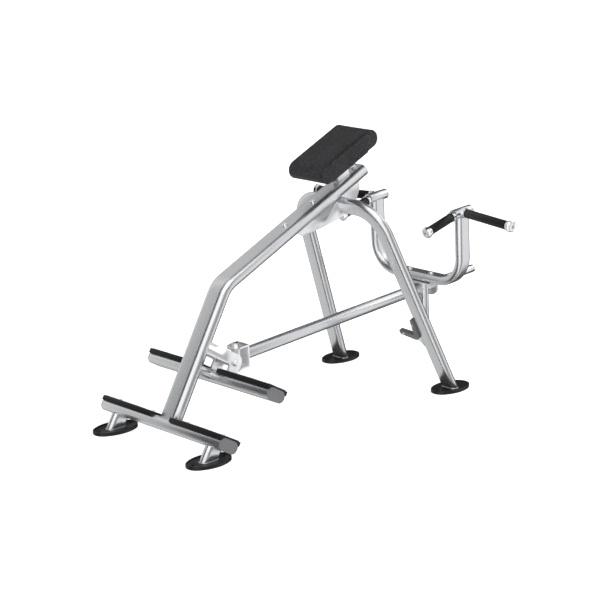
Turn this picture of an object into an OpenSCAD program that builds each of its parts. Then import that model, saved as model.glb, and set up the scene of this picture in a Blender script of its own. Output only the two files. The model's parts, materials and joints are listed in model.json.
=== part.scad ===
// Plate-loaded incline lever row with a chest pad. +Z is up, +Y is to the rear, +X is the user's right.
// The origin is on the floor, under the middle of the whole machine.

/* [Tubes] */
// Long side of the spine and foot bar section
big_w = 101.6; // [92:0.1:108]
// Short side of the spine and foot bar section
big_t = 50.8; // [46:0.1:54]
// Long side of the leg and handle section
mid_w = 76.2; // [70:0.1:82]
// Short side of the leg and handle section
mid_t = 38.1; // [34:0.1:40]
// Wall of every flat-oval tube
wall = 3; // [2:0.1:4]

/* [Spine] */
// Slope of the lower spine above the floor, in degrees
lower_slope = 60.7; // [58:0.1:63]
// Slope of the upper spine above the floor, in degrees
upper_slope = 24.66; // [23:0.01:26]
// Length of the lower spine, from the foot bar's axis to the corner
corner_u = 593; // [580:1:610]
// Length of the upper spine, from the corner to its end
upper_len = 874; // [865:1:900]
// Radius of the spine's bend
spine_bend = 110; // [90:1:140]

/* [Foot bars] */
// Length of each foot bar
bar_len = 700; // [680:1:720]
// Height of the lower foot bar's axis
bar_z = 77; // [74:1:80]
// Distance of the upper foot bar behind the lower spine's line
bar_back = 149.4; // [144:0.1:154]
// Distance of the upper foot bar above the lower one, along the spine
bar_up = 250.3; // [244:0.1:256]
// Where each foot grip starts, from the middle
grip_in = 54; // [53:1:70]

/* [Feet] */
// Length of a foot
foot_len = 209; // [200:1:215]
// Width of a foot
foot_w = 123; // [115:1:128]
// Thickness of a foot under its rim
foot_t = 11; // [10:1:13]
// Half the distance between the front legs
front_leg_x = 278.7; // [270:0.1:285]
// Half the distance between the rear legs at the floor
rear_leg_x = 326.7; // [320:0.1:332]

/* [Rear arch] */
// Place of the arch along the upper spine
arch_p = 700; // [690:1:710]
// Splay of each leg, in degrees
splay = 6.8; // [6:0.1:7.5]
// Radius of the arch's bends
arch_bend = 131; // [120:1:165]

/* [Chest pad] */
// Length of the pad along the spine
pad_len = 366; // [350:1:380]
// Width of the pad
pad_w = 203; // [195:1:210]
// Thickness of the pad's round ends
pad_t = 82; // [78:1:86]
// Middle of the pad along the upper spine
pad_p = 768; // [760:1:776]
// Height of the pad's top above the spine's line
pad_top = 182; // [178:1:186]

/* [Lever] */
// Pivot's distance behind the lower spine's line
pivot_back = 184.5; // [182:0.1:187]
// Pivot's distance up the spine from the foot bar's axis
pivot_up = 332; // [330:0.1:334]
// Rise of the lever to the rear, in degrees
lever_rise = 4.2; // [3.5:0.1:4.5]
// Diameter of the lever tube
lever_d = 50.8; // [48:0.1:52]
// Distance of the swivel bolt behind the pivot
swivel_s = 48; // [46:1:50]
// Distance of the plate stop from the pivot
stop_s = 1243; // [1238:1:1260]
// Diameter of the plate stop
stop_d = 95; // [90:1:100]
// Distance of the horn's end from the pivot
horn_s = 1543; // [1500:1:1560]
// Diameter of the weight horn
horn_d = 35; // [34:0.1:36]
// Height of the bottom of the lever's post above the lever's axis
post_low = -190; // [-210:1:-150]

/* [Handles] */
// Half the distance between the uprights of the handle frame
upright_x = 247.5; // [240:0.1:252]
// Distance of the handle frame from the pivot
frame_s = 1186; // [1184:1:1188]
// Height of the handle frame's cross tube above the lever's axis
cross_t = 59; // [58:1:60]
// Height of the cross heads above the lever's axis
head_t = 385; // [370:1:395]
// Radius of the handle frame's bends
frame_bend = 125; // [110:1:140]
// Diameter of a cross head
head_d = 44.5; // [42:0.1:46]
// Diameter of a rubber grip
rubber_d = 39; // [37:0.1:40]

/* [Hidden] */
$fn = 64;

// Clearance of a running fit, on the radius
run = 0.05;
// Gap between a fixed part and a moving part's face
gap = 0.3;
// Gap left where a straight plate meets a round tube of its own body
seat = 0.2;
SIDES = [-1, 1];

// Line of the lower spine, a little behind the foot bar's axis
spine_back = 7;
lean = 90 - lower_slope;
corner_y = spine_back * cos(lean) + corner_u * sin(lean);
corner_z = bar_z - spine_back * sin(lean) + corner_u * cos(lean);
bend_turn = lower_slope - upper_slope;
bend_reach = spine_bend * tan(bend_turn / 2);

// Rear arch, in its own plane square to the upper spine
arch_q = -(big_t + mid_w) / 2;
arch_plane_y = corner_y + arch_p * cos(upper_slope);
arch_plane_z = corner_z + arch_p * sin(upper_slope);
arch_drop = (arch_plane_z + arch_q * cos(upper_slope) - foot_t) / cos(upper_slope);
arch_corner_x = rear_leg_x - arch_drop * tan(splay);
arch_turn = 90 - splay;
arch_reach = arch_bend * tan(arch_turn / 2);
arch_start_x = arch_corner_x - arch_reach;
rear_foot_y = arch_plane_y - arch_q * sin(upper_slope) + arch_drop * sin(upper_slope);
front_foot_y = -(bar_z - foot_t) * tan(lean);

// Pivot of the lever
pivot_y = pivot_back * cos(lean) + pivot_up * sin(lean);
pivot_z = bar_z - pivot_back * sin(lean) + pivot_up * cos(lean);
pin_r = 10;
pin_bush_r = 13;
bolt_r = 8;
swivel_bush_r = 11;
block_half = 41.5;
flange = 0.5;
plate_in = block_half + flange + gap;
plate_t = 8;
plate_r = 34;
plate_top = pivot_up + plate_r;
plate_low = 316;
leg_in = 158;
leg_low = bar_up + big_t / 2;
nose_back = 54;
nose_half = 10;

// Yoke on the front end of the lever
yoke_w = 70;
yoke_half = 48.5;
yoke_t = 8;
web_s = 85;
tube_s = web_s + yoke_t;
swivel_half = 39.5;

// Handles: a collar, a sleeve and a knob along each rod
rod_d = 25;
collar_at = 24;
collar_len = 12;
knob_len = 24;
outer_len = 331;
outer_sweep = 11.4;
inner_len = 205;
inner_drop = 10.9;
inner_s = frame_s - 36;

// Box of the machine along Y, which sets the origin
cap_t = 3;
front_y = front_foot_y - foot_len / 2;
rear_y = pivot_y + (horn_s + cap_t) * cos(lever_rise) + horn_d / 2 * sin(lever_rise);
mid_y = (front_y + rear_y) / 2;

SILVER = [0.74, 0.75, 0.77];
PALE = [0.86, 0.87, 0.88];
CHROME = [0.9, 0.9, 0.92];
DARK = [0.12, 0.12, 0.13];
RUBBER = [0.08, 0.08, 0.08];
GREY = [0.42, 0.43, 0.45];
LEATHER = [0.2, 0.2, 0.21];

// ---- frames of reference ----

// Y and Z measured from the point on the floor under the lower foot bar's axis
module part_frame() translate([0, -mid_y, 0]) children();

// X, distance behind the lower spine's line, distance up the spine
module lower_frame() part_frame() translate([0, 0, bar_z]) rotate([-lean, 0, 0]) children();

// X, distance along the upper spine, height square to it
module upper_frame()
    part_frame() translate([0, corner_y, corner_z]) rotate([upper_slope, 0, 0]) children();

// X, distance along the lever from its pivot, height square to it
module lever_frame()
    part_frame() translate([0, pivot_y, pivot_z]) rotate([lever_rise, 0, 0]) children();

// ---- shapes ----

module flat_oval(w, t) {
    reach = (w - t) / 2;
    square([2 * reach, t], center = true);
    for (side = SIDES) translate([side * reach, 0]) circle(d = t);
}

module oval_ring(w, t) difference() {
    flat_oval(w, t);
    flat_oval(w - 2 * wall, t - 2 * wall);
}

// Extrudes an outline drawn in Y and Z along X, from the middle
module along_x(length) rotate([90, 0, 90]) linear_extrude(length, center = true) children();

// Extrudes along +Y, with the outline's Y pointing down
module along_y(length) rotate([-90, 0, 0]) linear_extrude(length) children();

// Outer form of a foot bar, with room round it
module bar_form(room) along_x(bar_len + 2) flat_oval(big_w + 2 * room, big_t + 2 * room);

// Outer form of the straight lower spine, with room round it
module spine_form(room)
    translate([0, spine_back, 0]) linear_extrude(corner_u)
        flat_oval(big_w + 2 * room, big_t + 2 * room);

// Hexagon bolt head or nut, standing on Z = 0
module hex(flats, height) cylinder(d = flats / cos(30), h = height, $fn = 6);

// Washer and low round head of a bolt, standing on Z = 0
module button_head(d, height) {
    cylinder(d = d * 1.35, h = height * 0.3);
    translate([0, 0, height * 0.3]) difference() {
        cylinder(d1 = d, d2 = d * 0.75, h = height * 0.7);
        translate([0, 0, height * 0.35]) hex(d * 0.42, height);
    }
}

// ---- frame ----

module spine_section() rotate(90) oval_ring(big_w, big_t);
module spine_straight(length) rotate([0, 0, -90]) linear_extrude(length) spine_section();

module spine_tube() color(SILVER) lower_frame() {
    translate([0, spine_back, big_t / 2]) spine_straight(corner_u - bend_reach - big_t / 2);
    translate([0, spine_back + spine_bend, corner_u - bend_reach]) {
        rotate([90, 0, -90]) rotate_extrude(angle = bend_turn)
            translate([spine_bend, 0]) spine_section();
        rotate([-bend_turn, 0, 0]) translate([0, -spine_bend, 0])
            spine_straight(upper_len - bend_reach);
    }
}

module spine_end_cap() color(PALE) upper_frame() translate([0, upper_len, 0]) {
    along_y(cap_t) flat_oval(big_w, big_t);
    translate([0, -18, 0]) along_y(18) flat_oval(big_w - 2 * wall, big_t - 2 * wall);
}

module foot_bar(back, up) lower_frame() translate([0, back, up])
    along_x(bar_len) oval_ring(big_w, big_t);

module lower_foot_bar() color(SILVER) foot_bar(0, 0);
module upper_foot_bar() color(SILVER) foot_bar(bar_back, bar_up);

module bar_end_caps() color(GREY) for (place = [[0, 0], [bar_back, bar_up]], side = SIDES)
    lower_frame() translate([side * bar_len / 2, place[0], place[1]]) {
        translate([side * cap_t / 2, 0, 0]) along_x(cap_t) flat_oval(big_w, big_t);
        translate([-side * 9, 0, 0]) along_x(18) flat_oval(big_w - 2 * wall, big_t - 2 * wall);
    }

// Moulded cover over the top of a foot bar, with a lip down each side
grip_half = 56;
grip_top = big_t / 2 + 6;
grip_lip = 12;
grip_len = bar_len / 2 + cap_t - grip_in;

module foot_grip(back, up, side) color(RUBBER) lower_frame()
    translate([side * (grip_in + grip_len / 2), back, up]) difference() {
        translate([-grip_len / 2, -grip_half, grip_lip])
            cube([grip_len, 2 * grip_half, grip_top - grip_lip]);
        bar_form(seat);
    }

module foot_grip_lower_left() foot_grip(0, 0, -1);
module foot_grip_lower_right() foot_grip(0, 0, 1);
module foot_grip_upper_left() foot_grip(bar_back, bar_up, -1);
module foot_grip_upper_right() foot_grip(bar_back, bar_up, 1);

// Places of the screws along each foot grip
screw_x = [grip_in + 50, grip_in + 250];
tread_t = 3;
tread_half = 50;

module each_foot_grip() for (place = [[0, 0], [bar_back, bar_up]], side = SIDES)
    lower_frame() translate([0, place[0], place[1]]) scale_side(side) children();

module scale_side(side) if (side > 0) children(); else mirror([1, 0, 0]) children();

module tread_plates() color(PALE) each_foot_grip() difference() {
    translate([grip_in + 6, -tread_half, grip_top])
        cube([grip_len - 12, 2 * tread_half, tread_t]);
    for (x = screw_x) translate([x, 0, grip_top - 1]) cylinder(r = 4.2, h = tread_t + 2);
}

module grip_screws() color(CHROME) each_foot_grip() for (x = screw_x)
    translate([x, 0, grip_top + tread_t]) {
        button_head(14, 5);
        translate([0, 0, -tread_t]) cylinder(r = 4, h = tread_t);
    }

// Length of stock that a front leg is cut from
leg_reach = 120;

module front_leg(side) color(SILVER) difference() {
    lower_frame() translate([side * front_leg_x, 0, -leg_reach])
        linear_extrude(leg_reach - big_t / 4) rotate(90) oval_ring(mid_w, mid_t);
    lower_frame() bar_form(seat);
    part_frame() floor_block();
}

module front_leg_left() front_leg(-1);
module front_leg_right() front_leg(1);

// Everything below the top of the feet
module floor_block() translate([-500, -500, foot_t - 400]) cube([1000, 2600, 400]);

rim_t = 4;
rim_w = 7;
anchor_r = 5.5;
anchor_y = foot_len / 2 - 24;

// Oval of four tangent arcs: ends of radius end_r, long sides of radius side_r
end_r = 45;
end_y = foot_len / 2 - end_r;
side_x = (pow(end_y, 2) - pow(foot_w / 2 - end_r, 2)) / (foot_w - 2 * end_r);
side_r = foot_w / 2 + side_x;
joint_y = end_y * side_r / (side_r - end_r);

module foot_oval(inset) {
    for (side = SIDES) translate([0, side * end_y]) circle(r = end_r - inset);
    intersection() {
        translate([side_x, 0]) circle(r = side_r - inset, $fn = 160);
        translate([-side_x, 0]) circle(r = side_r - inset, $fn = 160);
        square([foot_w, 2 * joint_y * (side_r - inset) / side_r], center = true);
    }
}

module foot(x, y) color(DARK) part_frame() translate([x, y, 0]) difference() {
    linear_extrude(foot_t + rim_t) foot_oval(0);
    translate([0, 0, foot_t]) linear_extrude(rim_t + 1) foot_oval(rim_w);
    for (side = SIDES) translate([0, side * anchor_y, -1])
        cylinder(r = anchor_r, h = foot_t + 2);
}

module foot_front_left() foot(-front_leg_x, front_foot_y);
module foot_front_right() foot(front_leg_x, front_foot_y);
module foot_rear_left() foot(-rear_leg_x, rear_foot_y);
module foot_rear_right() foot(rear_leg_x, rear_foot_y);

module arch_side() {
    translate([arch_start_x, 0, arch_q - arch_bend]) rotate([0, -90, -90])
        rotate_extrude(angle = arch_turn) translate([arch_bend, 0]) oval_ring(mid_w, mid_t);
    translate([arch_start_x, 0, arch_q - arch_bend]) rotate([0, 90 + arch_turn, 0])
        translate([-arch_bend, 0, 0]) linear_extrude(arch_drop) oval_ring(mid_w, mid_t);
}

module rear_arch() color(SILVER) difference() {
    upper_frame() translate([0, arch_p, 0]) {
        translate([0, 0, arch_q]) rotate([0, 90, 0])
            linear_extrude(2 * arch_start_x, center = true) oval_ring(mid_w, mid_t);
        arch_side();
        mirror([1, 0, 0]) arch_side();
    }
    part_frame() floor_block();
}

leg_line_q = arch_q - arch_drop;

// Outer form of the right rear leg, with room round it
module rear_leg_form(room) translate([rear_leg_x, arch_p, leg_line_q])
    rotate([0, -splay, 0]) linear_extrude(2 * front_leg_x)
        flat_oval(mid_w + 2 * room, mid_t + 2 * room);

// Parking catch on the inner side of the right rear leg: a plate and a rubber-faced cradle,
// drawn as X and height above the upper spine's line
catch_front = 670;
catch_deep = 22;
catch_t = 6;
CRADLE = [[156, -673], [160, -691], [243, -704], [257, -699], [264, -684], [253, -599],
          [241, -600], [240, -680]];
CATCH = [[172, -692], [195, -711], [224, -721], [250, -740], [268, -760], [280, -766], [292, -762],
         [300, -640], [262, -640], [248, -690]];
CATCH_SCREWS = [[246.5, -627], [180, -683.5]];

module at_catch(p) upper_frame() translate([0, p, 0]) rotate([90, 0, 0]) children();

module catch_plate() color(PALE) difference() {
    at_catch(catch_front + catch_deep + catch_t) linear_extrude(catch_t) polygon(CATCH);
    upper_frame() rear_leg_form(seat);
}

module catch_liner() color(GREY) difference() {
    at_catch(catch_front + catch_deep) linear_extrude(catch_deep) polygon(CRADLE);
    upper_frame() rear_leg_form(seat);
}

module catch_screws() color(CHROME) for (place = CATCH_SCREWS)
    at_catch(catch_front) translate(place) button_head(8, 2.5);

gusset_x = 20;
gusset_t = 8;
gusset_edge = -big_t / 2 - seat;
GUSSET = [[428, gusset_edge], [446, -54], [560, -88], [650, -107], [720, -112], [775, -100],
          [818, -66], [836, gusset_edge]];

module gusset(side) color(PALE) upper_frame() difference() {
    translate([side * (gusset_x + gusset_t / 2), 0, 0]) along_x(gusset_t) polygon(GUSSET);
    translate([0, arch_p, arch_q]) rotate([0, 90, 0])
        linear_extrude(100, center = true)
            flat_oval(mid_w + 2 * seat, mid_t + 2 * seat);
}

module gusset_left() gusset(-1);
module gusset_right() gusset(1);

// Bolts of the upper spine: heads on top and nuts below, on the closed tube
bolt_p = [402, 580, 850];
bolt_d = 18;

module spine_bolts() color(CHROME) upper_frame() for (p = bolt_p)
    translate([0, p, big_t / 2]) button_head(bolt_d, 9);

module spine_nuts() color(CHROME) upper_frame() for (p = bolt_p)
    translate([0, p, -big_t / 2]) mirror([0, 0, 1]) {
        cylinder(d = 22, h = 2);
        translate([0, 0, 2]) hex(bolt_d * 0.9, 9);
    }

module bar_link_tube() color(SILVER) lower_frame() difference() {
    translate([0, 0, bar_up]) along_y(bar_back) oval_ring(mid_w, mid_t);
    spine_form(seat);
    translate([0, bar_back, bar_up]) bar_form(seat);
}

// Side plate of the pivot: an arm off the spine with a leg down to the upper foot bar
module pivot_plate(side) color(PALE) lower_frame() difference() {
    translate([side * (plate_in + plate_t / 2), 0, 0]) along_x(plate_t) {
        translate([0, plate_low]) square([pivot_back, plate_top - plate_low]);
        translate([pivot_back, pivot_up]) circle(r = plate_r);
        translate([leg_in, leg_low - 40])
            square([pivot_back + plate_r - leg_in, pivot_up - leg_low + 40]);
    }
    spine_form(seat);
    translate([0, bar_back, bar_up]) bar_form(seat);
    translate([0, bar_back + 60, bar_up - 60]) cube([200, 120, 120], center = true);
    translate([0, pivot_back, pivot_up]) rotate([0, 90, 0])
        cylinder(r = pin_r + run, h = 200, center = true);
}

module pivot_plate_left() pivot_plate(-1);
module pivot_plate_right() pivot_plate(1);

// Cross plate and rubber block that the front of the pivot block rests against
stop_low = pivot_up + nose_half + gap;
bumper_t = 7;
stop_from = pivot_back - nose_back - 4;
stop_len = 30;

module stop_plate() color(PALE) lower_frame()
    translate([-plate_in + 0.1, stop_from, stop_low + bumper_t])
        cube([2 * plate_in - 0.2, stop_len, 8]);

module stop_bumper() color(RUBBER) lower_frame()
    translate([-15, stop_from + 2, stop_low]) cube([30, stop_len - 6, bumper_t]);

pin_end = plate_in + plate_t + 1;

module at_pivot_x() lower_frame() translate([0, pivot_back, pivot_up])
    rotate([0, 90, 0]) children();

module pivot_pin() color(CHROME) at_pivot_x() {
    translate([0, 0, -pin_end - 14]) cylinder(r = pin_r, h = 2 * pin_end + 14);
    translate([0, 0, pin_end - 1]) cylinder(r = 16, h = 3);
    translate([0, 0, pin_end + 2]) hex(26, 11);
}

module pivot_nut() color(CHROME) at_pivot_x() difference() {
    translate([0, 0, -pin_end - 13]) {
        hex(26, 11);
        translate([0, 0, 11]) cylinder(r = 16, h = 3);
    }
    cylinder(r = pin_r + run, h = 400, center = true);
}

bracket_half = 22;
bracket_len = 70;
bracket_p = pad_p - 2;
board_t = 16;
board_q = pad_top - pad_t + 5;
bracket_wall = 5;

// Square channel that carries the pad, open at its front and rear
bracket_top = board_q - board_t - big_t / 2;

module pad_bracket() color(PALE) upper_frame()
    translate([0, bracket_p, big_t / 2 + bracket_top / 2]) rotate([90, 0, 0])
        linear_extrude(bracket_len, center = true) difference() {
            square([2 * bracket_half, bracket_top], center = true);
            square([2 * (bracket_half - bracket_wall), bracket_top - 2 * bracket_wall],
                   center = true);
        }

board_half = 118;

module pad_board() color([0.25, 0.2, 0.16]) upper_frame()
    translate([-80, pad_p - board_half, board_q - board_t])
        cube([160, 2 * board_half, board_t - seat]);

// Flat-topped pad whose round ends hang a little below its flat underside
pad_hang = 5;

module chest_pad() color(LEATHER) upper_frame() translate([0, pad_p, board_q]) {
    round_r = (pad_top - board_q + pad_hang) / 2;
    translate([-pad_w / 2, round_r - pad_len / 2, 0])
        cube([pad_w, pad_len - 2 * round_r, pad_top - board_q]);
    for (side = SIDES) translate([0, side * (pad_len / 2 - round_r), round_r - pad_hang])
        rotate([0, 90, 0]) cylinder(r = round_r, h = pad_w, center = true);
}

module pad_screws() color(CHROME) upper_frame()
    for (x = [-60, 60], p = [-100, 100]) translate([x, pad_p + p, board_q - board_t])
        mirror([0, 0, 1]) button_head(16, 5);

// ---- swivel ----

module pivot_block() color(PALE) lever_frame() difference() {
    union() {
        rotate([0, 90, 0]) cylinder(r = 21, h = 2 * block_half, center = true);
        translate([0, swivel_s, 0]) cylinder(r = 19, h = 2 * swivel_half - 1, center = true);
        translate([-15, 0, -24]) cube([30, swivel_s, 48]);
        rotate([-lean - lever_rise, 0, 0]) translate([-15, -nose_back, -nose_half])
            cube([30, nose_back, 2 * nose_half]);
    }
    rotate([0, 90, 0]) cylinder(r = pin_bush_r, h = 200, center = true);
    translate([0, swivel_s, 0]) cylinder(r = swivel_bush_r, h = 200, center = true);
}

// Flanged bush standing on Z = 0 with its flange on top
module bush(outer, inner, length) difference() {
    union() {
        cylinder(r = outer, h = length);
        translate([0, 0, length]) cylinder(r = outer + 4, h = flange);
    }
    translate([0, 0, -1]) cylinder(r = inner, h = length + 4);
}

module pivot_bushes() color([0.65, 0.5, 0.28]) lever_frame() for (side = SIDES)
    rotate([0, 90 * side, 0]) translate([0, 0, block_half - 15])
        bush(pin_bush_r, pin_r + run, 15);

module swivel_bushes() color([0.65, 0.5, 0.28]) lever_frame() translate([0, swivel_s, 0])
    for (side = SIDES) rotate([90 - 90 * side, 0, 0]) translate([0, 0, swivel_half - 0.5 - 15])
        bush(swivel_bush_r, bolt_r + run, 15);

// ---- lever ----

module yoke_flange() {
    translate([0, swivel_s]) circle(d = yoke_w);
    translate([-yoke_w / 2, swivel_s]) square([yoke_w, tube_s - swivel_s]);
}

module yoke() color(PALE) lever_frame() difference() {
    union() {
        for (low = [-yoke_half, yoke_half - yoke_t])
            translate([0, 0, low]) linear_extrude(yoke_t) yoke_flange();
        translate([-yoke_w / 2, web_s, -yoke_half]) cube([yoke_w, yoke_t, 2 * yoke_half]);
    }
    translate([0, swivel_s, 0]) cylinder(r = bolt_r + run, h = 200, center = true);
}

module swivel_bolt() color(CHROME) lever_frame() translate([0, swivel_s, 0]) {
    translate([0, 0, -yoke_half - 15]) cylinder(r = bolt_r, h = 2 * yoke_half + 15);
    translate([0, 0, yoke_half]) cylinder(r = 15, h = 2.5);
    translate([0, 0, yoke_half + 2.5]) hex(24, 10);
}

module swivel_nut() color(CHROME) lever_frame() translate([0, swivel_s, -yoke_half - 14])
    difference() {
        union() {
            hex(24, 11.5);
            translate([0, 0, 11.5]) cylinder(r = 15, h = 2.5);
        }
        translate([0, 0, -1]) cylinder(r = bolt_r + run, h = 40);
    }

cross_low = cross_t - mid_t / 2;
mount_t = 8;
post_top = cross_low - mount_t;

// Outer form of the lever's post, with room round it
module post_form(room) translate([0, frame_s, post_low]) linear_extrude(post_top - post_low)
    flat_oval(mid_w + 2 * room, mid_t + 2 * room);

// Round tube along the lever's axis, cut where it meets the post
module axis_tube(from, to) color(SILVER) lever_frame() difference() {
    translate([0, from, 0]) along_y(to - from) difference() {
        circle(d = lever_d);
        circle(d = lever_d - 2 * wall - 1);
    }
    post_form(seat);
}

module lever_tube() {
    axis_tube(tube_s, frame_s - mid_t / 4);
    axis_tube(frame_s + mid_t / 4, stop_s);
}

module lever_post() color(SILVER) lever_frame() translate([0, frame_s, post_low])
    linear_extrude(post_top - post_low) oval_ring(mid_w, mid_t);

module post_end_cap() color(GREY) lever_frame() translate([0, frame_s, post_low - cap_t]) {
    linear_extrude(cap_t) flat_oval(mid_w, mid_t);
    linear_extrude(cap_t + 15) flat_oval(mid_w - 2 * wall, mid_t - 2 * wall);
}

module plate_stop() color(PALE) lever_frame() translate([0, stop_s, 0])
    along_y(8) circle(d = stop_d);

module weight_horn() color(CHROME) lever_frame() translate([0, stop_s + 8, 0]) difference() {
    along_y(horn_s - stop_s - 8) circle(d = horn_d);
    translate([0, -1, 0]) along_y(horn_s - stop_s) circle(d = horn_d - 9);
}

module horn_cap() color(PALE) lever_frame() translate([0, horn_s, 0]) {
    along_y(cap_t) circle(d = horn_d);
    translate([0, -14, 0]) along_y(14) circle(d = horn_d - 9);
}

mount_half = 80;
hole_x = 62;

module handle_mount() color(PALE) lever_frame() difference() {
    translate([-mount_half, frame_s - mid_w / 2, post_top]) cube([2 * mount_half, mid_w, mount_t]);
    for (x = [-hole_x, hole_x]) translate([x, frame_s, 0]) cylinder(r = 5.2, h = 80);
}

// Bend and upright at one side of the handle frame
module upright_side() {
    translate([upright_x - frame_bend, 0, cross_t + frame_bend]) rotate([90, 0, 0])
        rotate([0, 0, -90]) rotate_extrude(angle = 90)
            translate([frame_bend, 0]) frame_section();
    translate([upright_x, 0, cross_t + frame_bend])
        linear_extrude(head_t - cross_t - frame_bend) frame_section();
}

module frame_section() rotate(90) oval_ring(mid_w, mid_t);

module handle_frame() color(SILVER) lever_frame() difference() {
    translate([0, frame_s, 0]) {
        translate([0, 0, cross_t]) rotate([0, 90, 0])
            linear_extrude(2 * (upright_x - frame_bend), center = true) frame_section();
        upright_side();
        mirror([1, 0, 0]) upright_side();
    }
    for (side = SIDES) translate([side * upright_x, 0, head_t])
        along_y(2000) circle(d = head_d + 2 * seat);
}

module handle_bolts() color(CHROME) lever_frame() for (x = [-hole_x, hole_x])
    translate([x, frame_s, 0]) {
        translate([0, 0, cross_t + mid_t / 2]) button_head(18, 8);
        translate([0, 0, post_top]) cylinder(r = 5, h = mount_t - seat);
        translate([0, 0, post_top]) mirror([0, 0, 1]) hex(17, 8);
    }

head_len = 114;

module cross_head(side) color(SILVER) lever_frame()
    translate([side * upright_x, frame_s - head_len / 2, head_t]) difference() {
        along_y(head_len) circle(d = head_d);
        translate([0, 3, 0]) along_y(head_len - 6) circle(d = head_d - 7);
    }

module cross_head_left() cross_head(-1);
module cross_head_right() cross_head(1);

// Z runs out along the outer rod of the right handle
module outer_axis(side) lever_frame() scale_side(side)
    translate([upright_x, frame_s + 4, head_t]) rotate([0, 0, -outer_sweep])
        rotate([0, 90, 0]) children();

// Z runs forward along the inner rod of the right handle
module inner_axis(side) lever_frame() scale_side(side)
    translate([upright_x, inner_s, head_t - 1]) rotate([90 + inner_drop, 0, 0]) children();

module each_axis() for (side = SIDES) {
    outer_axis(side) place_len(outer_len) children();
    inner_axis(side) place_len(inner_len) children();
}

module place_len(len) {
    $rod_len = len;
    children();
}

// Outer form of both cross heads, with room round them
module head_form(room) lever_frame() for (side = SIDES)
    translate([side * upright_x, frame_s - head_len / 2 - room, head_t])
        along_y(head_len + 2 * room) circle(d = head_d + 2 * room);

module grip_rods() color(CHROME) difference() {
    each_axis() translate([0, 0, rod_d / 2]) cylinder(d = rod_d, h = $rod_len - knob_len - rod_d / 2);
    head_form(seat / 2);
}

module sleeve(length) difference() {
    translate([0, 0, collar_at + collar_len]) cylinder(d = rubber_d,
        h = length - knob_len - collar_at - collar_len);
    translate([0, 0, -1]) cylinder(d = rod_d + 2 * run, h = length + 2);
}

module outer_grip_left() color(RUBBER) outer_axis(-1) sleeve(outer_len);
module outer_grip_right() color(RUBBER) outer_axis(1) sleeve(outer_len);
module inner_grip_left() color(RUBBER) inner_axis(-1) sleeve(inner_len);
module inner_grip_right() color(RUBBER) inner_axis(1) sleeve(inner_len);

module grip_collars() color(CHROME) difference() {
    each_axis() difference() {
        translate([0, 0, collar_at]) cylinder(d = 44, h = collar_len);
        cylinder(d = rod_d + 2 * run, h = 100);
    }
    head_form(seat / 2);
}

module end_knobs() color(CHROME) each_axis() translate([0, 0, $rod_len - knob_len])
    difference() {
        union() {
            cylinder(d = 43, h = 7);
            translate([0, 0, 7]) cylinder(d = 36, h = 3);
            translate([0, 0, 10]) cylinder(d = 49, h = 9);
            translate([0, 0, 19]) cylinder(d1 = 49, d2 = 39, h = 5);
        }
        translate([0, 0, 16]) cylinder(d = 9, h = 20);
    }

spine_tube();
spine_end_cap();
lower_foot_bar();
upper_foot_bar();
bar_end_caps();
foot_grip_lower_left();
foot_grip_lower_right();
foot_grip_upper_left();
foot_grip_upper_right();
tread_plates();
grip_screws();
front_leg_left();
front_leg_right();
foot_front_left();
foot_front_right();
foot_rear_left();
foot_rear_right();
rear_arch();
gusset_left();
gusset_right();
spine_bolts();
spine_nuts();
bar_link_tube();
pivot_plate_left();
pivot_plate_right();
stop_plate();
stop_bumper();
pivot_pin();
pivot_nut();
pad_bracket();
pad_board();
chest_pad();
pad_screws();
pivot_block();
pivot_bushes();
swivel_bushes();
yoke();
swivel_bolt();
swivel_nut();
lever_tube();
lever_post();
catch_plate();
catch_liner();
catch_screws();
post_end_cap();
plate_stop();
weight_horn();
horn_cap();
handle_mount();
handle_frame();
handle_bolts();
cross_head_left();
cross_head_right();
grip_rods();
outer_grip_left();
outer_grip_right();
inner_grip_left();
inner_grip_right();
grip_collars();
end_knobs();
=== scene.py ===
"""Incline lever row: the looks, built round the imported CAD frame. Metres, row frame."""
import json
import math

import bmesh
import bpy
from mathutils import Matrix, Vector, geometry, noise
from mathutils.bvhtree import BVHTree


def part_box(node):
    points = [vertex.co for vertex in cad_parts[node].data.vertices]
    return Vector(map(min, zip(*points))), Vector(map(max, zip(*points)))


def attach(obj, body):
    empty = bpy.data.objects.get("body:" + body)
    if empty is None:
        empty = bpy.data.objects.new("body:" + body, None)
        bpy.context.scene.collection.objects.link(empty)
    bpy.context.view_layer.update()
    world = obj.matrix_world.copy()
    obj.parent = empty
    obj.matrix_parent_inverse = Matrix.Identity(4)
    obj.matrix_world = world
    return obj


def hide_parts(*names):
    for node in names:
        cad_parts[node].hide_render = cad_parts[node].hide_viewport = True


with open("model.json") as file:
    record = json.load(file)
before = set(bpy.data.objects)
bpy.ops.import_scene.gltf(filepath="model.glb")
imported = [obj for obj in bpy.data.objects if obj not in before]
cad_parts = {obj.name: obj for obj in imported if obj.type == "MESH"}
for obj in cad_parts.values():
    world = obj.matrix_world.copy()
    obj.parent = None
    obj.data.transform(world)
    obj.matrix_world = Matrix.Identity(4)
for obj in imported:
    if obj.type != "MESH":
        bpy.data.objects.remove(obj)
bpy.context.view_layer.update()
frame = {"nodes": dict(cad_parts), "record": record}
MM = 0.001

# ---------------------------------------------------------------- directions of the two inclined frames
UPPER_SLOPE = math.radians(24.66)      # upper spine and chest pad
LEVER_RISE = math.radians(4.2)         # lever, rising to the rear
LEAN = math.radians(90 - 60.7)         # lower spine, leaning back from upright


def slope_axes(angle):
    """Along (to the rear and up) and square (up) unit vectors of a line that rises at angle."""
    return Vector((0, math.cos(angle), math.sin(angle))), Vector((0, -math.sin(angle), math.cos(angle)))


PAD_ALONG, PAD_UP = slope_axes(UPPER_SLOPE)
LEVER_ALONG, LEVER_UP = slope_axes(LEVER_RISE)
SPINE_BACK, SPINE_UP = slope_axes(-LEAN)
SIDE = Vector((1, 0, 0))


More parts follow.
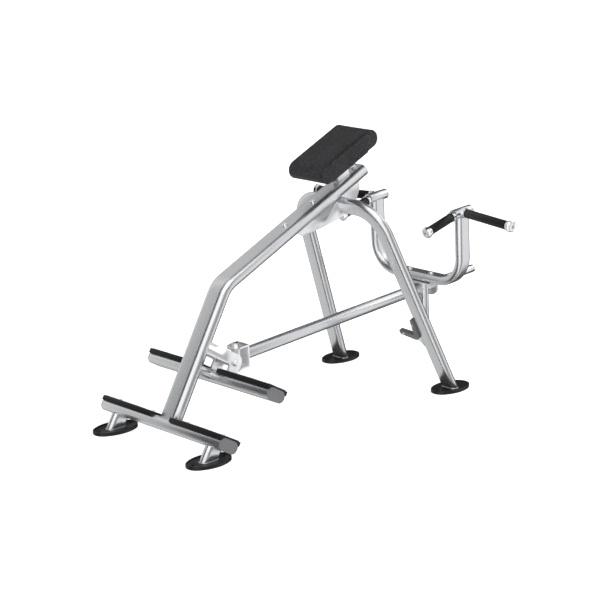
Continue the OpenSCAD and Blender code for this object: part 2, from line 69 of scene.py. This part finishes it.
# ---------------------------------------------------------------- camera
CAMERA_PLACE = (5.09946, -5.2570, 2.35948)
CAMERA_YAW = 44.8065
CAMERA_PITCH = 14.7939
CAMERA_LENS = 107.83


def make_camera():
    data = bpy.data.cameras.new("camera")
    data.lens, data.sensor_width = CAMERA_LENS, 36
    data.clip_start, data.clip_end = 0.1, 200
    camera = bpy.data.objects.new("camera", data)
    camera.location = CAMERA_PLACE
    camera.rotation_euler = (math.radians(90 - CAMERA_PITCH), 0, math.radians(CAMERA_YAW))
    bpy.context.scene.collection.objects.link(camera)
    bpy.context.scene.camera = camera


# ---------------------------------------------------------------- node helpers
class Nodes:
    """A material's node tree with short calls for the nodes used here."""

    def __init__(self, name):
        self.material = bpy.data.materials.new(name)
        self.material.use_nodes = True
        self.tree = self.material.node_tree
        self.shader = self.tree.nodes["Principled BSDF"]
        self.place = self.add("ShaderNodeTexCoord").outputs["Object"]

    def add(self, kind, **values):
        node = self.tree.nodes.new(kind)
        for key, value in values.items():
            setattr(node, key, value)
        return node

    def link(self, a, b):
        self.tree.links.new(a, b)

    def set(self, **values):
        for key, value in values.items():
            self.shader.inputs[key.replace("_", " ")].default_value = value

    def noise(self, scale, detail=2.0, rough=0.5, stretch=None):
        node = self.add("ShaderNodeTexNoise")
        node.inputs["Scale"].default_value = scale
        node.inputs["Detail"].default_value = detail
        node.inputs["Roughness"].default_value = rough
        self.link(self.stretched(stretch), node.inputs["Vector"])
        return node.outputs["Fac"]

    def stretched(self, stretch):
        if stretch is None:
            return self.place
        node = self.add("ShaderNodeMapping")
        node.inputs["Scale"].default_value = stretch
        self.link(self.place, node.inputs["Vector"])
        return node.outputs["Vector"]

    def cells(self, scale, feature="F1"):
        node = self.add("ShaderNodeTexVoronoi", feature=feature)
        node.inputs["Scale"].default_value = scale
        self.link(self.place, node.inputs["Vector"])
        return node.outputs["Distance"]

    def ramp(self, source, low, high, a, b):
        node = self.add("ShaderNodeMapRange")
        node.inputs["From Min"].default_value, node.inputs["From Max"].default_value = low, high
        node.inputs["To Min"].default_value, node.inputs["To Max"].default_value = a, b
        self.link(source, node.inputs["Value"])
        return node.outputs["Result"]

    def colours(self, source, stops):
        node = self.add("ShaderNodeValToRGB")
        ramp = node.color_ramp
        while len(ramp.elements) < len(stops):
            ramp.elements.new(0.5)
        for element, (at, colour) in zip(ramp.elements, stops):
            element.position, element.color = at, (*colour, 1)
        self.link(source, node.inputs["Fac"])
        return node.outputs["Color"]

    def sum(self, a, b, share=0.5):
        node = self.add("ShaderNodeMix", data_type="FLOAT")
        node.inputs["Factor"].default_value = share
        self.link(a, node.inputs["A"])
        self.link(b, node.inputs["B"])
        return node.outputs["Result"]

    def bump(self, height, strength, distance, after=None):
        node = self.add("ShaderNodeBump")
        node.inputs["Strength"].default_value = strength
        node.inputs["Distance"].default_value = distance
        self.link(height, node.inputs["Height"])
        if after is not None:
            self.link(after, node.inputs["Normal"])
        self.link(node.outputs["Normal"], self.shader.inputs["Normal"])
        return node.outputs["Normal"]

    def colour(self, source):
        self.link(source, self.shader.inputs["Base Color"])

    def roughness(self, source):
        self.link(source, self.shader.inputs["Roughness"])


def edge_wear(n):
    """1 on convex edges, 0 on flats: where handling and cleaning polish a coat."""
    geometry = n.add("ShaderNodeNewGeometry")
    return n.ramp(geometry.outputs["Pointiness"], 0.52, 0.60, 0, 1)


# ---------------------------------------------------------------- materials, one function per slot
def satin_metal(name, shade, rough, metallic=0.95):
    """Silver powder coat: fine metallic flake, slight orange peel, a little cloudiness."""
    n = Nodes(name)
    n.set(Metallic=metallic, IOR=1.6)
    cloud = n.noise(7, 3, 0.6)
    flake = n.noise(2600, 1, 0.5)
    mixed = n.sum(cloud, flake, 0.75)
    dark, light = [c * 0.95 for c in shade], [min(1, c * 1.05) for c in shade]
    n.colour(n.colours(mixed, [(0.3, dark), (0.7, light)]))
    n.roughness(n.ramp(n.sum(n.noise(24, 3, 0.6), flake, 0.35), 0.3, 0.7, rough - 0.02, rough + 0.02))
    peel = n.bump(n.noise(420, 2, 0.5), 0.02, 0.0002)
    n.bump(flake, 0.04, 0.0001, peel)
    return n.material


def polished_chrome(name):
    n = Nodes(name)
    n.set(Metallic=1.0)
    n.colour(n.colours(n.noise(30, 3), [(0.3, (0.80, 0.81, 0.83)), (0.7, (0.90, 0.90, 0.92))]))
    n.roughness(n.ramp(n.noise(160, 4, 0.7), 0.35, 0.75, 0.05, 0.13))
    n.bump(n.noise(900, 2), 0.02, 0.0002)
    return n.material


def moulded(name, shade, rough, grain, depth, spread=0.25):
    """Moulded rubber or plastic with a fine spark-eroded grain."""
    n = Nodes(name)
    n.set(Metallic=0.0, IOR=1.5, Specular_IOR_Level=0.3)
    fine = n.noise(grain, 3, 0.6)
    dust = n.noise(38, 4, 0.65)
    low, high = [c * (1 - spread) for c in shade], [c * (1 + spread) for c in shade]
    n.colour(n.colours(n.sum(fine, dust, 0.5), [(0.32, low), (0.68, high)]))
    n.roughness(n.ramp(n.sum(dust, fine, 0.4), 0.3, 0.7, rough - 0.08, rough + 0.08))
    n.bump(fine, 0.25, depth)
    return n.material


def brushed_aluminium(name):
    n = Nodes(name)
    n.set(Metallic=1.0)
    streak = n.noise(60, 3, 0.6, (0.06, 8, 8))
    n.colour(n.colours(streak, [(0.3, (0.62, 0.63, 0.65)), (0.7, (0.80, 0.81, 0.82))]))
    n.roughness(n.ramp(streak, 0.3, 0.7, 0.28, 0.42))
    n.bump(streak, 0.08, 0.0003)
    return n.material


def grained_leather(name, shade):
    """Charcoal upholstery: pebbled grain, light flecks on the pebbles, dull creases between."""
    n = Nodes(name)
    n.set(Metallic=0.0, IOR=1.45, Specular_IOR_Level=0.25)
    pebble = n.cells(420)
    crease = n.cells(420, "DISTANCE_TO_EDGE")
    fleck = n.noise(170, 5, 0.85)
    broad = n.noise(9, 3, 0.5)
    dark, light = [c * 0.55 for c in shade], [min(1, c * 3.2) for c in shade]
    n.colour(n.colours(n.sum(fleck, broad, 0.12), [(0.40, dark), (0.50, shade), (0.60, light)]))
    n.roughness(n.ramp(n.sum(pebble, broad, 0.5), 0.2, 0.8, 0.44, 0.60))
    first = n.bump(n.ramp(crease, 0, 0.25, 0, 1), 0.5, 0.0008)
    n.bump(fleck, 0.3, 0.0008, first)
    return n.material


def stained_plywood(name):
    n = Nodes(name)
    n.set(Metallic=0.0)
    rings = n.noise(30, 5, 0.65, (1, 0.15, 6))
    n.colour(n.colours(rings, [(0.3, (0.012, 0.010, 0.009)), (0.7, (0.030, 0.026, 0.024))]))
    n.roughness(n.ramp(rings, 0.3, 0.7, 0.55, 0.75))
    n.bump(rings, 0.2, 0.0006)
    return n.material


def bearing_bronze(name):
    n = Nodes(name)
    n.set(Metallic=1.0)
    grain = n.noise(300, 3, 0.6)
    n.colour(n.colours(grain, [(0.3, (0.42, 0.29, 0.12)), (0.7, (0.66, 0.48, 0.24))]))
    n.roughness(n.ramp(grain, 0.3, 0.7, 0.25, 0.45))
    n.bump(grain, 0.1, 0.0002)
    return n.material


MATERIALS = {
    "frame_silver": satin_metal("frame_silver", (0.70, 0.71, 0.73), 0.27),
    "plate_pale": satin_metal("plate_pale", (0.88, 0.885, 0.895), 0.30, 0.85),
    "chrome": polished_chrome("chrome"),
    "foot_black": moulded("foot_black", (0.009, 0.009, 0.010), 0.38, 900, 0.0004),
    "cover_black": moulded("cover_black", (0.006, 0.006, 0.006), 0.40, 700, 0.0005),
    "grip_black": moulded("grip_black", (0.004, 0.004, 0.004), 0.30, 1100, 0.0003),
    "cap_grey": moulded("cap_grey", (0.145, 0.148, 0.155), 0.48, 800, 0.0003, 0.12),
    "liner_grey": moulded("liner_grey", (0.11, 0.112, 0.117), 0.55, 700, 0.0004, 0.15),
    "tread_grey": brushed_aluminium("tread_grey"),
    "pad_leather": grained_leather("pad_leather", (0.020, 0.0205, 0.022)),
    "board_wood": stained_plywood("board_wood"),
    "bush_bronze": bearing_bronze("bush_bronze"),
}
SEAM = moulded("pad_seam", (0.003, 0.003, 0.003), 0.5, 1500, 0.0002)
WELD = satin_metal("weld_bead", (0.58, 0.59, 0.61), 0.34)


# ---------------------------------------------------------------- mesh helpers
def new_object(name, mesh, material, body):
    piece = bpy.data.objects.new(name, mesh)
    bpy.context.scene.collection.objects.link(piece)
    mesh.materials.clear()
    mesh.materials.append(material)
    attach(piece, body)
    return piece


def smooth(mesh, angle=35):
    mesh.shade_smooth()
    mesh.set_sharp_from_angle(angle=math.radians(angle))


def apply_modifiers(piece):
    evaluated = piece.evaluated_get(bpy.context.evaluated_depsgraph_get())
    mesh = bpy.data.meshes.new_from_object(evaluated)
    piece.modifiers.clear()
    piece.data = mesh


def from_bmesh(bm, name):
    bmesh.ops.recalc_face_normals(bm, faces=bm.faces)
    mesh = bpy.data.meshes.new(name)
    bm.to_mesh(mesh)
    bm.free()
    return mesh


# ---------------------------------------------------------------- carried CAD nodes
BEVEL = {
    "foot_black": 1.6, "cover_black": 1.5, "plate_pale": 0.9, "cap_grey": 1.2, "liner_grey": 1.2,
    "chrome": 0.5, "frame_silver": 0.4, "board_wood": 0.8,
}


def dress_cad_nodes():
    slots = {row["node"]: row["material_slot"] for row in frame["record"]["subparts"]}
    for name, node in frame["nodes"].items():
        slot = slots[name]
        node.data.materials.clear()
        node.data.materials.append(MATERIALS[slot])
        smooth(node.data)
        weld = node.modifiers.new("weld", "WELD")
        weld.merge_threshold = 0.02 * MM
        if slot in BEVEL:
            bevel = node.modifiers.new("edge", "BEVEL")
            bevel.width = BEVEL[slot] * MM
            bevel.segments = 3
            bevel.limit_method = "ANGLE"
            bevel.angle_limit = math.radians(40)
            bevel.harden_normals = True


# ---------------------------------------------------------------- chest pad
def pad_outline(length, low, high, bulge, steps):
    """Side outline of the pad as (along, up) points: flat top, round ends that hang a little below the flat underside."""
    radius = (high - low + bulge) / 2
    middle = high - radius
    points = []
    for end in (1, -1):
        centre = end * (length / 2 - radius)
        for i in range(steps + 1):
            turn = math.pi / 2 - math.pi * i / steps
            points.append((centre + end * radius * math.cos(turn), middle + end * radius * math.sin(turn)))
    return [(a, max(u, low) if abs(a) < length / 2 - radius - 0.012 else u) for a, u in points]


def make_chest_pad():
    low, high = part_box("chest_pad")
    centre = (low + high) / 2
    corner_along = [Vector((0, y, z)).dot(PAD_ALONG) for y in (low.y, high.y) for z in (low.z, high.z)]
    width = high.x - low.x
    nodes = frame["nodes"]["chest_pad"].data.vertices
    along = [v.co.dot(PAD_ALONG) for v in nodes]
    up = [v.co.dot(PAD_UP) for v in nodes]
    length = max(along) - min(along)
    thick = max(up) - min(up)
    origin = PAD_ALONG * (max(along) + min(along)) / 2 + PAD_UP * (max(up) + min(up)) / 2
    swell = 2.0 * MM
    outline = pad_outline(length - 2 * swell, -thick / 2 + 5 * MM + swell, thick / 2 - swell, 5 * MM, 20)
    bm = bmesh.new()
    half = width / 2 - swell
    rings = []
    for x in (-half, half):
        rings.append([bm.verts.new(origin + SIDE * x + PAD_ALONG * a + PAD_UP * u) for a, u in outline])
    count = len(outline)
    for i in range(count):
        j = (i + 1) % count
        bm.faces.new((rings[0][i], rings[0][j], rings[1][j], rings[1][i]))
    bm.faces.new(rings[0])
    bm.faces.new(list(reversed(rings[1])))
    mesh = from_bmesh(bm, "chest_cushion")
    piece = bpy.data.objects.new("chest_cushion", mesh)
    bpy.context.scene.collection.objects.link(piece)
    remesh = piece.modifiers.new("remesh", "REMESH")
    remesh.mode, remesh.voxel_size = "VOXEL", 4 * MM
    apply_modifiers(piece)
    inflate(piece, origin, 2 * MM)
    soften = piece.modifiers.new("soften", "SMOOTH")
    soften.factor, soften.iterations = 0.5, 1
    finer = piece.modifiers.new("finer", "SUBSURF")
    finer.levels = finer.render_levels = 1
    apply_modifiers(piece)
    press_seams(piece, origin, half)
    smooth(piece.data, 60)
    piece.data.materials.clear()
    piece.data.materials.append(MATERIALS["pad_leather"])
    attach(piece, "frame")
    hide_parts("chest_pad")
    make_piping(piece, origin, half, length, thick)


def inflate(piece, origin, cap):
    """Blows the cushion up with cloth pressure, and holds each point within cap of where it began."""
    start = [v.co.copy() for v in piece.data.vertices]
    cloth = piece.modifiers.new("cloth", "CLOTH")
    settings = cloth.settings
    settings.quality = 5
    settings.mass = 0.3
    settings.tension_stiffness = settings.compression_stiffness = 25
    settings.shear_stiffness = 15
    settings.bending_stiffness = 2
    settings.use_pressure = True
    settings.uniform_pressure_force = 4
    settings.effector_weights.gravity = 0
    cloth.collision_settings.use_collision = False
    cloth.point_cache.frame_start, cloth.point_cache.frame_end = 1, 20
    for step in range(1, 21):
        bpy.context.scene.frame_set(step)
    apply_modifiers(piece)
    bpy.context.scene.frame_set(1)
    for vertex, before in zip(piece.data.vertices, start):
        moved = vertex.co - before
        if moved.dot(PAD_UP) < 0 and (before - origin).dot(PAD_UP) < -0.02:
            moved -= PAD_UP * moved.dot(PAD_UP)        # the underside lies on its board
        if moved.length > cap:
            moved *= cap / moved.length
        vertex.co = before + moved


SEAM_INSET = 7 * MM


def press_seams(piece, origin, half):
    """Draws the cover in along the seam just inside each side edge of the wrap."""
    for vertex in piece.data.vertices:
        away = vertex.co - origin
        gap = (abs(away.x) - half + SEAM_INSET) / (2.5 * MM)
        flat = Vector((0, away.y, away.z))
        if flat.length > 20 * MM:
            vertex.co -= flat.normalized() * math.exp(-gap * gap) * 1.5 * MM


def make_piping(piece, origin, half, length, thick):
    """A stitched edge round both side panels, laid on the cushion's finished surface."""
    tree = BVHTree.FromPolygons([v.co for v in piece.data.vertices], [p.vertices for p in piece.data.polygons])
    reach = length / 2 - thick / 2
    for side, name in ((-1, "pad_piping_left"), (1, "pad_piping_right")):
        points = []
        for a, u in pad_outline(length, -thick / 2, thick / 2, 0, 24) + [(-x / 12 * reach, -thick / 2) for x in range(-11, 12)]:
            root = origin + SIDE * side * (half - SEAM_INSET) + PAD_ALONG * max(-reach, min(reach, a))
            out = PAD_ALONG * (a - max(-reach, min(reach, a))) + PAD_UP * u
            spot = tree.ray_cast(root + out * 2, -out.normalized())[0]
            if spot:
                points.append(spot)
        points.sort(key=lambda q: math.atan2((q - origin).dot(PAD_UP), (q - origin).dot(PAD_ALONG)))
        cord_mesh(name, points, 1.3 * MM, True, SEAM, "frame")


def cord_mesh(name, points, radius, closed, material, body, lumps=0.0, sides=10):
    """A round bead along points, as a mesh; lumps makes its surface uneven like a weld."""
    curve = bpy.data.curves.new(name, "CURVE")
    curve.dimensions = "3D"
    curve.bevel_depth = radius
    curve.bevel_resolution = sides // 4
    curve.use_fill_caps = not closed
    spline = curve.splines.new("POLY")
    spline.points.add(len(points) - 1)
    for point, place in zip(spline.points, points):
        point.co = (*place, 1)
    spline.use_cyclic_u = closed
    holder = bpy.data.objects.new(name + "_curve", curve)
    bpy.context.scene.collection.objects.link(holder)
    mesh = bpy.data.meshes.new_from_object(holder.evaluated_get(bpy.context.evaluated_depsgraph_get()))
    bpy.data.objects.remove(holder)
    bpy.data.curves.remove(curve)
    if lumps:
        for vertex in mesh.vertices:
            vertex.co += noise.noise_vector(vertex.co * 160) * lumps
    smooth(mesh, 60)
    return new_object(name, mesh, material, body)


# ---------------------------------------------------------------- rubber grips
RIBS = 22
RIB_DEPTH = 1.1 * MM
RIB_STEPS = 6


def node_axis(name):
    """Middle, direction and half length of a round CAD node, from the spread of its vertices."""
    points = [v.co for v in frame["nodes"][name].data.vertices]
    centre = sum(points, Vector()) / len(points)
    far = max(points, key=lambda p: (p - centre).length)
    ends = sorted(points, key=lambda p: (p - centre).dot((far - centre).normalized()))
    first = [p for p in points if (p - ends[0]).length < 0.045]
    last = [p for p in points if (p - ends[-1]).length < 0.045]
    a, b = sum(first, Vector()) / len(first), sum(last, Vector()) / len(last)
    return (a + b) / 2, (b - a).normalized(), (b - a).length / 2


def make_grip(name):
    """A rubber sleeve with ribs along it and a plain bead at each end."""
    centre, along, half = node_axis(name)
    outer = 19.4 * MM
    u = along.orthogonal().normalized()
    v = along.cross(u)
    count = RIBS * RIB_STEPS
    stations = [(-1, -3.4), (-1, -0.8), (-0.998, 0), (-0.975, 0), (-0.968, -1.0), (-0.955, None), (0.955, None),
                (0.968, -1.0), (0.975, 0), (0.998, 0), (1, -0.8), (1, -3.4)]
    bm = bmesh.new()
    rings = []
    for share, drop in stations:
        ring = []
        for i in range(count):
            turn = 2 * math.pi * i / count
            radius = outer + (drop if drop is not None else 0) * MM
            if drop is None:
                wave = 0.5 - 0.5 * math.cos(turn * RIBS)
                radius = outer - RIB_DEPTH * wave ** 1.6
            ring.append(bm.verts.new(centre + along * half * share + (u * math.cos(turn) + v * math.sin(turn)) * radius))
        rings.append(ring)
    for low, high in zip(rings, rings[1:]):
        for i in range(count):
            j = (i + 1) % count
            bm.faces.new((low[i], low[j], high[j], high[i]))
    bm.faces.new(rings[0])
    bm.faces.new(list(reversed(rings[-1])))
    mesh = from_bmesh(bm, name + "_sleeve")
    smooth(mesh, 50)
    piece = new_object(name + "_sleeve", mesh, MATERIALS["grip_black"], "lever")
    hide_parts(name)


# ---------------------------------------------------------------- welds
def weld_ring(name, node, direction, body, part=None):
    """A weld bead round the lowest end, along direction, of a CAD tube; part picks one of its solids."""
    points = [v.co for v in frame["nodes"][node].data.vertices if part is None or part(v.co)]
    level = min(p.dot(direction) for p in points)
    points = [p for p in points if p.dot(direction) < level + 0.3 * MM]
    u = direction.orthogonal().normalized()
    v = direction.cross(u)
    flat = [Vector((p.dot(u), p.dot(v))) for p in points]
    ring = [points[i] for i in geometry.convex_hull_2d(flat)]
    even = []
    for a, b in zip(ring, ring[1:] + ring[:1]):
        steps = max(1, round((b - a).length / (3 * MM)))
        even += [a.lerp(b, i / steps) for i in range(steps)]
    cord_mesh(name, even, 2.4 * MM, True, WELD, body, 0.7 * MM)


def make_welds():
    down = Vector((0, 0, 1))
    weld_ring("weld_rear_leg_left", "rear_arch", down, "frame", lambda p: p.x < 0)
    weld_ring("weld_rear_leg_right", "rear_arch", down, "frame", lambda p: p.x > 0)
    weld_ring("weld_front_leg_left", "front_leg_left", down, "frame")
    weld_ring("weld_front_leg_right", "front_leg_right", down, "frame")
    weld_ring("weld_lever_yoke", "lever_tube", LEVER_ALONG, "lever")
    weld_ring("weld_horn_stop", "weight_horn", LEVER_ALONG, "lever")


# ---------------------------------------------------------------- light, floor
def make_floor():
    mesh = bpy.data.meshes.new("floor")
    size = 60
    mesh.from_pydata([(-size, -size, 0), (size, -size, 0), (size, size, 0), (-size, size, 0)], [], [(0, 1, 2, 3)])
    floor = bpy.data.objects.new("floor", mesh)
    floor.location.z = -0.0005
    bpy.context.scene.collection.objects.link(floor)
    n = Nodes("floor")
    n.set(Roughness=0.9, Emission_Color=(1, 1, 1, 1), Emission_Strength=0.75)
    n.colour(n.colours(n.noise(1.5, 2), [(0.3, (0.91, 0.91, 0.91)), (0.7, (0.94, 0.94, 0.94))]))
    mesh.materials.append(n.material)
    floor.visible_glossy = False


def area_light(name, place, target, size, power):
    data = bpy.data.lights.new(name, "AREA")
    data.shape, data.size, data.size_y, data.energy = "RECTANGLE", size[0], size[1], power
    light = bpy.data.objects.new(name, data)
    light.location = place
    light.rotation_euler = (Vector(target) - Vector(place)).to_track_quat("-Z", "Y").to_euler()
    bpy.context.scene.collection.objects.link(light)


# Brightness of the studio by direction: by bearing (0 is -Y, growing towards +X) and by height
BEARINGS = [(0.0, 0.9), (0.03, 1.35), (0.16, 1.35), (0.20, 0.45), (0.30, 0.25), (0.335, 0.95), (0.42, 1.05),
            (0.46, 0.08), (0.63, 0.06), (0.66, 0.62), (0.75, 0.72), (0.80, 0.92), (0.83, 0.66), (0.885, 0.60),
            (0.905, 0.02), (0.975, 0.02)]
HEIGHTS = [(0.0, 0.8), (0.2, 0.9), (0.35, 1.0), (0.90, 1.0), (1.0, 0.8)]


def level_ramp(tree, source, stops):
    node = tree.nodes.new("ShaderNodeValToRGB")
    while len(node.color_ramp.elements) < len(stops):
        node.color_ramp.elements.new(0.5)
    for element, (at, level) in zip(node.color_ramp.elements, stops):
        element.position, element.color = at, (level, level, level, 1)
    tree.links.new(source, node.inputs["Fac"])
    return node.outputs["Color"]


def maths(tree, operation, *inputs):
    node = tree.nodes.new("ShaderNodeMath")
    node.operation = operation
    for socket, value in zip(node.inputs, inputs):
        if isinstance(value, (int, float)):
            socket.default_value = value
        else:
            tree.links.new(value, socket)
    return node.outputs[0]


def make_light():
    world = bpy.data.worlds.new("studio")
    bpy.context.scene.world = world
    world.use_nodes = True
    tree = world.node_tree
    background = tree.nodes["Background"]
    background.inputs["Strength"].default_value = 1.0
    coords = tree.nodes.new("ShaderNodeTexCoord")
    split = tree.nodes.new("ShaderNodeSeparateXYZ")
    tree.links.new(coords.outputs["Generated"], split.inputs[0])
    x, y, z = split.outputs
    turn = maths(tree, "ARCTAN2", x, maths(tree, "MULTIPLY", y, -1))
    bearing = maths(tree, "FRACT", maths(tree, "ADD", maths(tree, "DIVIDE", turn, 2 * math.pi), 1.0))
    height = maths(tree, "ADD", maths(tree, "MULTIPLY", z, 0.5), 0.5)
    mix = tree.nodes.new("ShaderNodeMix")
    mix.data_type, mix.blend_type = "RGBA", "MULTIPLY"
    mix.inputs["Factor"].default_value = 1
    colours = [socket for socket in mix.inputs if socket.type == "RGBA"]
    tree.links.new(level_ramp(tree, bearing, BEARINGS), colours[0])
    tree.links.new(level_ramp(tree, height, HEIGHTS), colours[1])
    tree.links.new([socket for socket in mix.outputs if socket.type == "RGBA"][0], background.inputs["Color"])
    area_light("key", (3.5, -1.5, 5.0), (0, 0, 0.4), (4.0, 4.0), 90)
    area_light("rim", (0.5, 5.5, 4.0), (0, 0, 0.5), (5, 3), 60)
    bpy.context.scene.view_settings.view_transform = "Standard"


make_camera()
make_floor()
make_light()
dress_cad_nodes()
make_chest_pad()
for grip in ("outer_grip_left", "outer_grip_right", "inner_grip_left", "inner_grip_right"):
    make_grip(grip)

make_welds()
